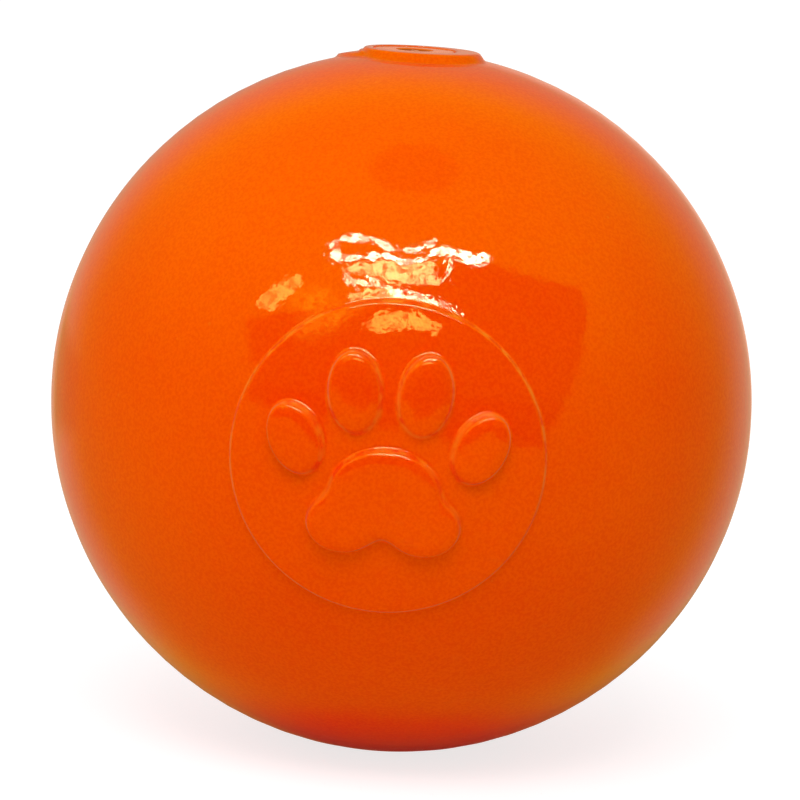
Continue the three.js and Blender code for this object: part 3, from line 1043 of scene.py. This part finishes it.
@once
def plastic_material(finish):
    """Hard orange plastic of the squeaker's case and cap, darker in the vent, up to a radius
    about its axis."""
    material, nodes, shader, body = plain_material(
        "orange_plastic", finish.plastic, darkest=0.86, roughness=0.12, grain_height=0.006 * MM
    )
    # The plastic turns darker inside a radius about the vent's axis
    x, y, _ = nodes.parts(nodes.place())
    x = nodes.math("SUBTRACT", x, across_box("vent_cap")[0])
    from_axis = nodes.math("SQRT", nodes.math("MULTIPLY_ADD", x, x, nodes.product(y, y)))
    in_vent = nodes.between(from_axis, DARK_VENT, DARK_VENT - DARK_VENT_EDGE)
    nodes.put(shader.inputs["Base Color"], nodes.mix(in_vent, body, opaque(finish.vent_dark)))
    return material


@once
def natural_material(finish):
    """Milky plastic of the reed pack, which lets some light in."""
    material, nodes, shader, _ = plain_material(
        "natural_plastic", finish.natural, darkest=0.9, roughness=0.4, grain_height=0.006 * MM
    )
    nodes.fill(shader, {"Subsurface Weight": 0.3, "Subsurface Scale": 1 * MM})
    return material


@once
def film_material(finish):
    """Smooth film of the reed."""
    return plain_material(
        "reed_film", finish.film, darkest=0.93, roughness=0.18, grain_height=0.002 * MM
    )[0]


# Studio

SENSOR_WIDTH = 36.0  # millimetres


def from_ball(azimuth, height, distance, centre):
    """A point at a distance from the ball's middle. Azimuth is to the right of the badge, height
    above level."""
    level_part = math.cos(height) * distance
    across = math.sin(azimuth) * level_part
    ahead = math.cos(azimuth) * level_part
    return centre + Vector((across, -ahead, math.sin(height) * distance))


def make_camera(context, centre, radius):
    """A camera that sees the ball's outline as a circle of the given radius in pixels about the
    given pixel. Its lens follows from the cone that touches the ball, and it turns from the ball's
    middle by the pixel offsets."""
    studio = context.scene.dog_ball.studio
    place = from_ball(studio.camera_azimuth, studio.camera_height, studio.camera_distance, centre)
    cone = math.sqrt((studio.camera_distance / radius) ** 2 - 1)
    focal_pixels = studio.outline_radius * cone
    data = bpy.data.cameras.new("camera")
    data.sensor_width = SENSOR_WIDTH
    data.lens = focal_pixels / IMAGE_SIDE * SENSOR_WIDTH
    data.clip_start = 10 * MM
    camera = bpy.data.objects.new("camera", data)
    turn = (centre - place).to_track_quat("-Z", "Y") @ Quaternion((0, 0, 1), studio.camera_roll)
    right = (studio.aim_x - IMAGE_SIDE / 2) / focal_pixels
    down = (studio.aim_y - IMAGE_SIDE / 2) / focal_pixels
    turn = turn @ Quaternion((0, 1, 0), right) @ Quaternion((1, 0, 0), down)
    camera.rotation_mode = "QUATERNION"
    camera.rotation_quaternion = turn
    camera.location = place
    context.scene.collection.objects.link(camera)
    context.scene.camera = camera


KEY_AZIMUTH = math.radians(-3)
KEY_HEIGHT = math.radians(52)
KEY_DISTANCE = 3.0
KEY_SIZE = 1.9, 1.3


def make_key(context, centre):
    """A soft rectangular lamp that faces the ball. Its power is the light on a card that faces it,
    times pi squared and the squared distance. The gloss doesn't show it, because it shows the
    window instead."""
    data = bpy.data.lights.new("key", "AREA")
    data.shape = "RECTANGLE"
    data.size, data.size_y = KEY_SIZE
    data.energy = context.scene.dog_ball.studio.key * math.pi**2 * KEY_DISTANCE**2
    lamp = bpy.data.objects.new("key", data)
    lamp.location = from_ball(KEY_AZIMUTH, KEY_HEIGHT, KEY_DISTANCE, centre)
    lamp.rotation_mode = "QUATERNION"
    lamp.rotation_quaternion = (centre - lamp.location).to_track_quat("-Z", "Y")
    lamp.visible_glossy = False
    context.scene.collection.objects.link(lamp)


FLOOR_STEPS = 13


def make_floor(context):
    """A flat square grid under the ball. The gloss doesn't show it, because the world has a floor
    for the gloss."""
    half = context.scene.dog_ball.studio.floor_side / 2
    ticks = np.linspace(-half, half, FLOOR_STEPS)
    x, y = np.meshgrid(ticks, ticks)
    points = np.stack([x, y, np.zeros_like(x)], axis=-1).reshape(-1, 3)
    number = np.arange(FLOOR_STEPS**2).reshape(FLOOR_STEPS, FLOOR_STEPS)
    mesh = bpy.data.meshes.new("floor")
    mesh.from_pydata(points.tolist(), [], sheet_faces(number).tolist())
    mesh.materials.append(floor_material(context.scene.dog_ball.studio))
    floor = bpy.data.objects.new("floor", mesh)
    floor.visible_glossy = False
    context.scene.collection.objects.link(floor)


FIBRE_SCALE = 300.0  # of the paper's fibres, per metre
FIBRE_DARKEST = 0.98  # share of the paper's white


def floor_material(studio):
    """Matte paper. The camera sees it nearly white, with an even glow besides its shading."""
    material, nodes, shader = new_material("floor")
    to_camera = nodes.add("ShaderNodeLightPath").outputs["Is Camera Ray"]
    shades = FIBRE_DARKEST * studio.floor_paper, studio.floor_paper
    fibre = nodes.between(nodes.noise(nodes.place(), FIBRE_SCALE, detail=3.0), *MIDDLE, *shades)
    inputs = {
        "Base Color": nodes.mix(to_camera, nodes.grey(fibre), opaque([studio.floor_shade] * 3)),
        "Emission Color": nodes.mix(to_camera, opaque((0, 0, 0)), opaque((1, 1, 1))),
        "Emission Strength": studio.floor_fill,
        "Roughness": 0.9,
        "Specular IOR Level": 0.0,
    }
    nodes.fill(shader, inputs)
    return material


class Pane:
    """A bright part of the window: how much blue is left in its light, and points along it from
    left to right. Each has its azimuth and height above level as seen from the ball and half of how
    high the pane looks there, all in degrees, and its brightness. The edge is how far its light
    fades, also in degrees."""

    MOST = 90.0, 12.0, 50.0  # height, half height and brightness that a ramp's value of 1 stands for

    def __init__(self, blue, *points, edge=0.15):
        self.tint = (1.0, 0.97, blue)
        self.edge = math.radians(edge)
        self.start, self.end = (math.radians(points[end][0]) for end in (0, -1))
        reach = points[-1][0] - points[0][0]
        self.stops = [
            ((azimuth - points[0][0]) / reach, [part / most for part, most in zip(parts, self.MOST)])
            for azimuth, *parts in points
        ]


WINDOW = {
    "head": Pane(
        0.65,
        (-41, 55, 0.8, 20), (-36, 58.5, 1.0, 30), (-25, 60.3, 1.0, 30), (-20, 60.3, 0.9, 32),
        (-8, 58.8, 0.7, 28), (-2, 58, 0.6, 24), (8, 59.6, 0.8, 36), (16, 61.8, 0.7, 36),
    ),
    "bar": Pane(
        0.65,
        (-38, 53.6, 2.0, 36), (-33, 52.6, 1.5, 36), (-28, 53.2, 0.9, 34), (-18, 55.2, 0.8, 36),
        (-9, 55.6, 0.8, 40), (-1, 54.2, 0.8, 36), (8, 55.8, 0.8, 36), (17, 58, 1.1, 44),
        (26, 56.7, 1.6, 48), (37, 53.9, 1.6, 48), (43.5, 54, 1.0, 44),
    ),
    "glass": Pane(
        0.34,
        (-28, 49.5, 1.2, 12), (-14.5, 51.2, 2.6, 14), (-1, 49.7, 3.2, 15), (15, 50.6, 4.2, 13),
    ),
    "post": Pane(
        0.55,
        (16.8, 47.8, 0.6, 14), (19, 50.5, 1.6, 24), (21.5, 53.2, 1.7, 26), (22.4, 54, 0.5, 20),
    ),
    "sill": Pane(
        0.55,
        (-27, 47, 0.9, 14), (-22.5, 45.5, 1.2, 24), (-13.4, 46.1, 1.2, 32), (-6.4, 44.5, 1.2, 30),
        (2, 42.2, 1.5, 42), (8, 41.7, 1.6, 38), (13, 40, 1.4, 40), (19.7, 38, 1.5, 50),
        (23.5, 35.2, 1.2, 50),
    ),
    "shelf": Pane(0.3, (-22, 40.8, 0.8, 10), (-12, 42, 1.1, 14), (-3, 42.6, 0.7, 12)),
    "ledge": Pane(0.14, (-11, 25.5, 0.8, 5), (-6, 27, 2.4, 7), (3, 28, 2.2, 8), (10.5, 26, 0.9, 7)),
    "haze": Pane(
        0.02,
        (-46, 36, 3, 0.7), (-38, 36, 5, 1.4), (-30, 31, 9, 2.0), (-24, 29, 8, 2.4),
        (-17, 32, 6, 2.0), (-6, 37, 3, 0.9),
        edge=3.0,
    ),
    "side_light": Pane(
        0.16,
        (-56, 31, 1, 5), (-52.5, 34.5, 4.2, 6), (-48, 37, 5.2, 6.5), (-43, 40.5, 2, 6),
    ),
}


def pane_light(nodes, azimuth, height, pane):
    """Light of one pane in a direction: its brightness where the direction is nearer to the pane's
    middle line than half its height, and between its ends."""
    inputs = {"Value": azimuth, "From Min": pane.start, "From Max": pane.end}
    along = nodes.add("ShaderNodeMapRange", inputs).outputs["Result"]
    middle, half, bright = nodes.ramp(along, pane.stops)
    most_height, most_half, most_bright = pane.MOST
    away = nodes.math("SUBTRACT", height, nodes.product(middle, math.radians(most_height)))
    depth = nodes.product(half, math.radians(most_half))
    depth = nodes.math("SUBTRACT", depth, nodes.math("ABSOLUTE", away))
    inside = [nodes.between(depth, -pane.edge, pane.edge)]
    for end, inwards in ((pane.start, pane.edge), (pane.end, -pane.edge)):
        inside.append(nodes.between(azimuth, end - inwards, end + inwards))
    return nodes.scale(pane.tint, nodes.product(bright, most_bright, *inside))


# Each straight side of the dark screen keeps the directions whose azimuth times the first number plus
# height times the second is over the third, in degrees.
SCREEN_SIDES = {
    "left": (1, 0.7, -38.6),
    "foot": (0.087, 1, -1.45),
    "top left corner": (0.367, -1, -46.5),
    "head": (0, -1, -57),
    "top right corner": (-0.469, -1, -72.1),
    "right": (-1, 0, -75),
    "lower right corner": (-1.333, 1, -66.7),
}
SCREEN_EDGE = math.radians(1.2)
SCREEN_STEP = math.radians(5), math.radians(9)  # between the screen's black foot and its upper part
SCREEN_DEPTH = 0.77  # share of the walls' light that its upper part takes away


def screen_shade(nodes, azimuth, height):
    """The share of light that the dark screen in front of the ball lets through: none at its foot
    and a little above that. Its shape is the product of one smooth step for each side."""
    depth = nodes.between(height, *SCREEN_STEP, -1.0, -SCREEN_DEPTH)
    steps = []
    for along, up, limit in SCREEN_SIDES.values():
        value = nodes.math("MULTIPLY_ADD", azimuth, along, nodes.product(height, up))
        limit = math.radians(limit)
        steps.append(nodes.between(value, limit - SCREEN_EDGE, limit + SCREEN_EDGE))
    return nodes.math("MULTIPLY_ADD", nodes.product(*steps), depth, 1.0)


# Places in the room that the gloss shows are parts of a unit vector from the ball: x to the right, y
# to the back and z up. Four numbers are two such places and the shares of light there.
ROOM_TINT = 1.0, 0.97, 0.0  # of walls, ceiling and floor, whose blue the rubber takes up
CEILING_RISE = 0.0, 0.85  # z, from the walls' light to the ceiling's
WALL_SLANT = 0.12  # how much further forward the walls darken on the right
WALL_FADE = -0.15, 0.45, 1.0, 0.72  # y, from beside the ball to behind it
RIGHT_FALL = 0.05  # light lost to the right
CROWN_FADE = 0.98, 0.986, 1.0, 0.65  # z, dark patch straight above
FLOOR_FADE = -0.95, -0.35, 0.6, 1.0  # z, darkest straight below
REAR_TINT = 0.58, 0.39, 0.2  # of the light from behind the ball
REAR_EDGE = 0.58, 0.95  # y
REAR_DROP = 0.2  # how much further forward it reaches below level
BACKDROP_TINT = 1.1, 0.64, 0.44  # of what stands straight behind the ball
BACKDROP_EDGE = 0.95, 0.995  # y
BACKDROP_LEVELS = -0.2, 0.1, 0.5, 0.9  # x
POST_HEIGHT = -0.137  # of the dark post on the left, z
POST_EDGE = 0.11, 0.05  # z
POST_LEFT = -0.3, -0.45, 0.0, 0.88  # x
POST_BACK = 0.45, 0.75  # y
POST_SHADE = 0.5  # share of light that it takes away
SHADOW_TINT = 0.34, 0.0, 0.0  # of the ball's shadow on the floor
SHADOW_BEND = 0.865  # how much lower its upper edge is at the sides
SHADOW_TOP = -0.05, -0.3  # z, below which no light comes from behind
SHADOW_EDGE = 0.98, 1.3  # y less z
SHADOW_BACK = 0.2, 0.55  # y
RIPPLE_SCALE = 30.0  # of the uneven light of the window
RIPPLE_LEVELS = 0.38, 0.6, 0.1, 1.4  # noise, and the shares of light there


def room_in_gloss(nodes, direction, studio):
    """What the ball's gloss shows of the room: walls that brighten towards the ceiling and to the
    left and darken behind the ball, a dark patch straight above, a dark screen in front with the
    window above it, pink light from behind with a post on the left, and below that the ball's red
    shadow on the floor. Gives a colour."""
    x, y, z = nodes.parts(direction)
    azimuth = nodes.math("ARCTAN2", x, nodes.product(y, -1.0))
    height = nodes.math("ARCSINE", z)
    low = nodes.math("MULTIPLY_ADD", nodes.math("ABSOLUTE", x), SHADOW_BEND, z)
    off_post = nodes.math("ABSOLUTE", nodes.math("SUBTRACT", z, POST_HEIGHT))
    post = nodes.product(
        nodes.between(off_post, *POST_EDGE),
        nodes.between(x, *POST_LEFT),
        nodes.between(y, *POST_BACK),
    )
    lit = nodes.product(
        nodes.between(z, *CEILING_RISE, studio.walls, studio.ceiling),
        nodes.between(nodes.math("MULTIPLY_ADD", x, WALL_SLANT, y), *WALL_FADE),
        nodes.math("MULTIPLY_ADD", x, -RIGHT_FALL, 1.0),
        nodes.between(z, *CROWN_FADE),
        nodes.between(z, *FLOOR_FADE),
        screen_shade(nodes, azimuth, height),
        nodes.math("MULTIPLY_ADD", post, -POST_SHADE, 1.0),
    )
    downward = nodes.math("MAXIMUM", nodes.product(z, -1.0), 0.0)
    rear = nodes.product(
        nodes.between(nodes.math("MULTIPLY_ADD", downward, REAR_DROP, y), *REAR_EDGE),
        nodes.math("SUBTRACT", 1.0, nodes.between(low, *SHADOW_TOP)),
        nodes.math("SUBTRACT", 1.0, post),
    )
    backdrop = nodes.scale(BACKDROP_TINT, nodes.between(x, *BACKDROP_LEVELS))
    shadow = nodes.product(
        nodes.between(nodes.math("SUBTRACT", y, low), *SHADOW_EDGE),
        nodes.between(y, *SHADOW_BACK),
    )
    room = nodes.mix(rear, nodes.scale(ROOM_TINT, lit), opaque(REAR_TINT))
    room = nodes.mix(nodes.between(y, *BACKDROP_EDGE), room, backdrop)
    room = nodes.mix(shadow, room, opaque(SHADOW_TINT))
    ripple = nodes.noise(direction, RIPPLE_SCALE, detail=4.0, roughness=0.65)
    bright = nodes.product(nodes.between(ripple, *RIPPLE_LEVELS), studio.window)
    for pane in WINDOW.values():
        light = nodes.scale(pane_light(nodes, azimuth, height, pane), bright)
        room = nodes.add("ShaderNodeVectorMath", {0: room, 1: light}, operation="ADD").outputs[0]
    return room


def make_world(context):
    """White to the camera. On the object it is a soft glow from above, from the left and from the
    front, each falling off with the cosine of the angle from there, and its gloss shows the
    room."""
    studio = context.scene.dog_ball.studio
    world = bpy.data.worlds.new("studio")
    world.use_nodes = True
    context.scene.world = world
    nodes = Nodes(world.node_tree)
    direction = nodes.add("ShaderNodeTexCoord").outputs["Generated"]
    path = nodes.add("ShaderNodeLightPath").outputs
    x, y, z = nodes.parts(direction)
    glow = 0.0
    for part, share in ((z, studio.glow_above), (x, -studio.glow_left), (y, -studio.glow_front)):
        one_side = nodes.math("MAXIMUM", nodes.product(part, share), 0.0)
        glow = nodes.math("ADD", one_side, glow)
    mirrored = nodes.math("MAXIMUM", path["Is Glossy Ray"], path["Is Transmission Ray"])
    seen = nodes.mix(mirrored, nodes.grey(glow), room_in_gloss(nodes, direction, studio))
    seen = nodes.mix(path["Is Camera Ray"], seen, opaque((1, 1, 1)))
    nodes.put(world.node_tree.nodes["Background"].inputs["Color"], seen)


def make_stage(context):
    """Floor, world, lamp and camera."""
    settings = context.scene.dog_ball
    radius = settings.ball.diameter / 2
    centre = Vector((0, 0, radius - settings.ball.foot_cut))
    make_floor(context)
    make_world(context)
    make_key(context, centre)
    make_camera(context, centre, radius)
    context.scene.view_settings.view_transform = "Standard"


# Operators, panel and registration


class DOGBALL_OT_ball(bpy.types.Operator):
    """Make the rubber ball with its badge and crown"""

    bl_idname = "dogball.ball"
    bl_label = "Rubber Ball"

    def execute(self, context):
        make_ball(context)
        return {"FINISHED"}


class DOGBALL_OT_case(bpy.types.Operator):
    """Make the barbed case of the squeaker"""

    bl_idname = "dogball.case"
    bl_label = "Squeaker Case"

    def execute(self, context):
        make_case(context)
        return {"FINISHED"}


class DOGBALL_OT_cap(bpy.types.Operator):
    """Make the round cap with the vent in its middle"""

    bl_idname = "dogball.cap"
    bl_label = "Vent Cap"

    def execute(self, context):
        make_cap(context)
        return {"FINISHED"}


class DOGBALL_OT_reed_pack(bpy.types.Operator):
    """Make the reed's tube, tone board and clip"""

    bl_idname = "dogball.reed_pack"
    bl_label = "Reed Pack"

    def execute(self, context):
        make_tube(context)
        make_board(context)
        make_clip(context)
        return {"FINISHED"}


class DOGBALL_OT_reed(bpy.types.Operator):
    """Make the reed"""

    bl_idname = "dogball.reed"
    bl_label = "Reed"

    def execute(self, context):
        make_reed(context)
        return {"FINISHED"}


class DOGBALL_OT_stage(bpy.types.Operator):
    """Make the floor, world, lamp and camera"""

    bl_idname = "dogball.stage"
    bl_label = "Studio"

    def execute(self, context):
        make_stage(context)
        return {"FINISHED"}


OPERATORS = (
    DOGBALL_OT_stage,
    DOGBALL_OT_ball,
    DOGBALL_OT_case,
    DOGBALL_OT_cap,
    DOGBALL_OT_reed_pack,
    DOGBALL_OT_reed,
)


class DOGBALL_PT_panel(bpy.types.Panel):
    """Lists the pieces and their settings"""

    bl_label = "Dog Ball"
    bl_space_type = "VIEW_3D"
    bl_region_type = "UI"
    bl_category = "Dog Ball"

    def draw(self, context):
        for operator in OPERATORS:
            self.layout.operator(operator.bl_idname)
        settings = context.scene.dog_ball
        for name in settings.__annotations__:
            group = getattr(settings, name)
            box = self.layout.box()
            box.label(text=group.bl_rna.description)
            for key in group.__annotations__:
                box.prop(group, key)


SETTINGS = (BallSizes, BadgeSizes, SqueakerSizes, Finishes, Studio, DogBall)
CLASSES = (*SETTINGS, *OPERATORS, DOGBALL_PT_panel)


def register():
    """Adds the settings, operators and panel to Blender."""
    for cls in CLASSES:
        bpy.utils.register_class(cls)
    bpy.types.Scene.dog_ball = bpy.props.PointerProperty(type=DogBall)


def unregister():
    """Takes them out again."""
    del bpy.types.Scene.dog_ball
    for cls in reversed(CLASSES):
        bpy.utils.unregister_class(cls)


def main():
    """Builds the studio and every piece."""
    register()
    bpy.ops.dogball.stage()
    bpy.ops.dogball.ball()
    bpy.ops.dogball.case()
    bpy.ops.dogball.cap()
    bpy.ops.dogball.reed_pack()
    bpy.ops.dogball.reed()


if __name__ == "__main__":
    main()
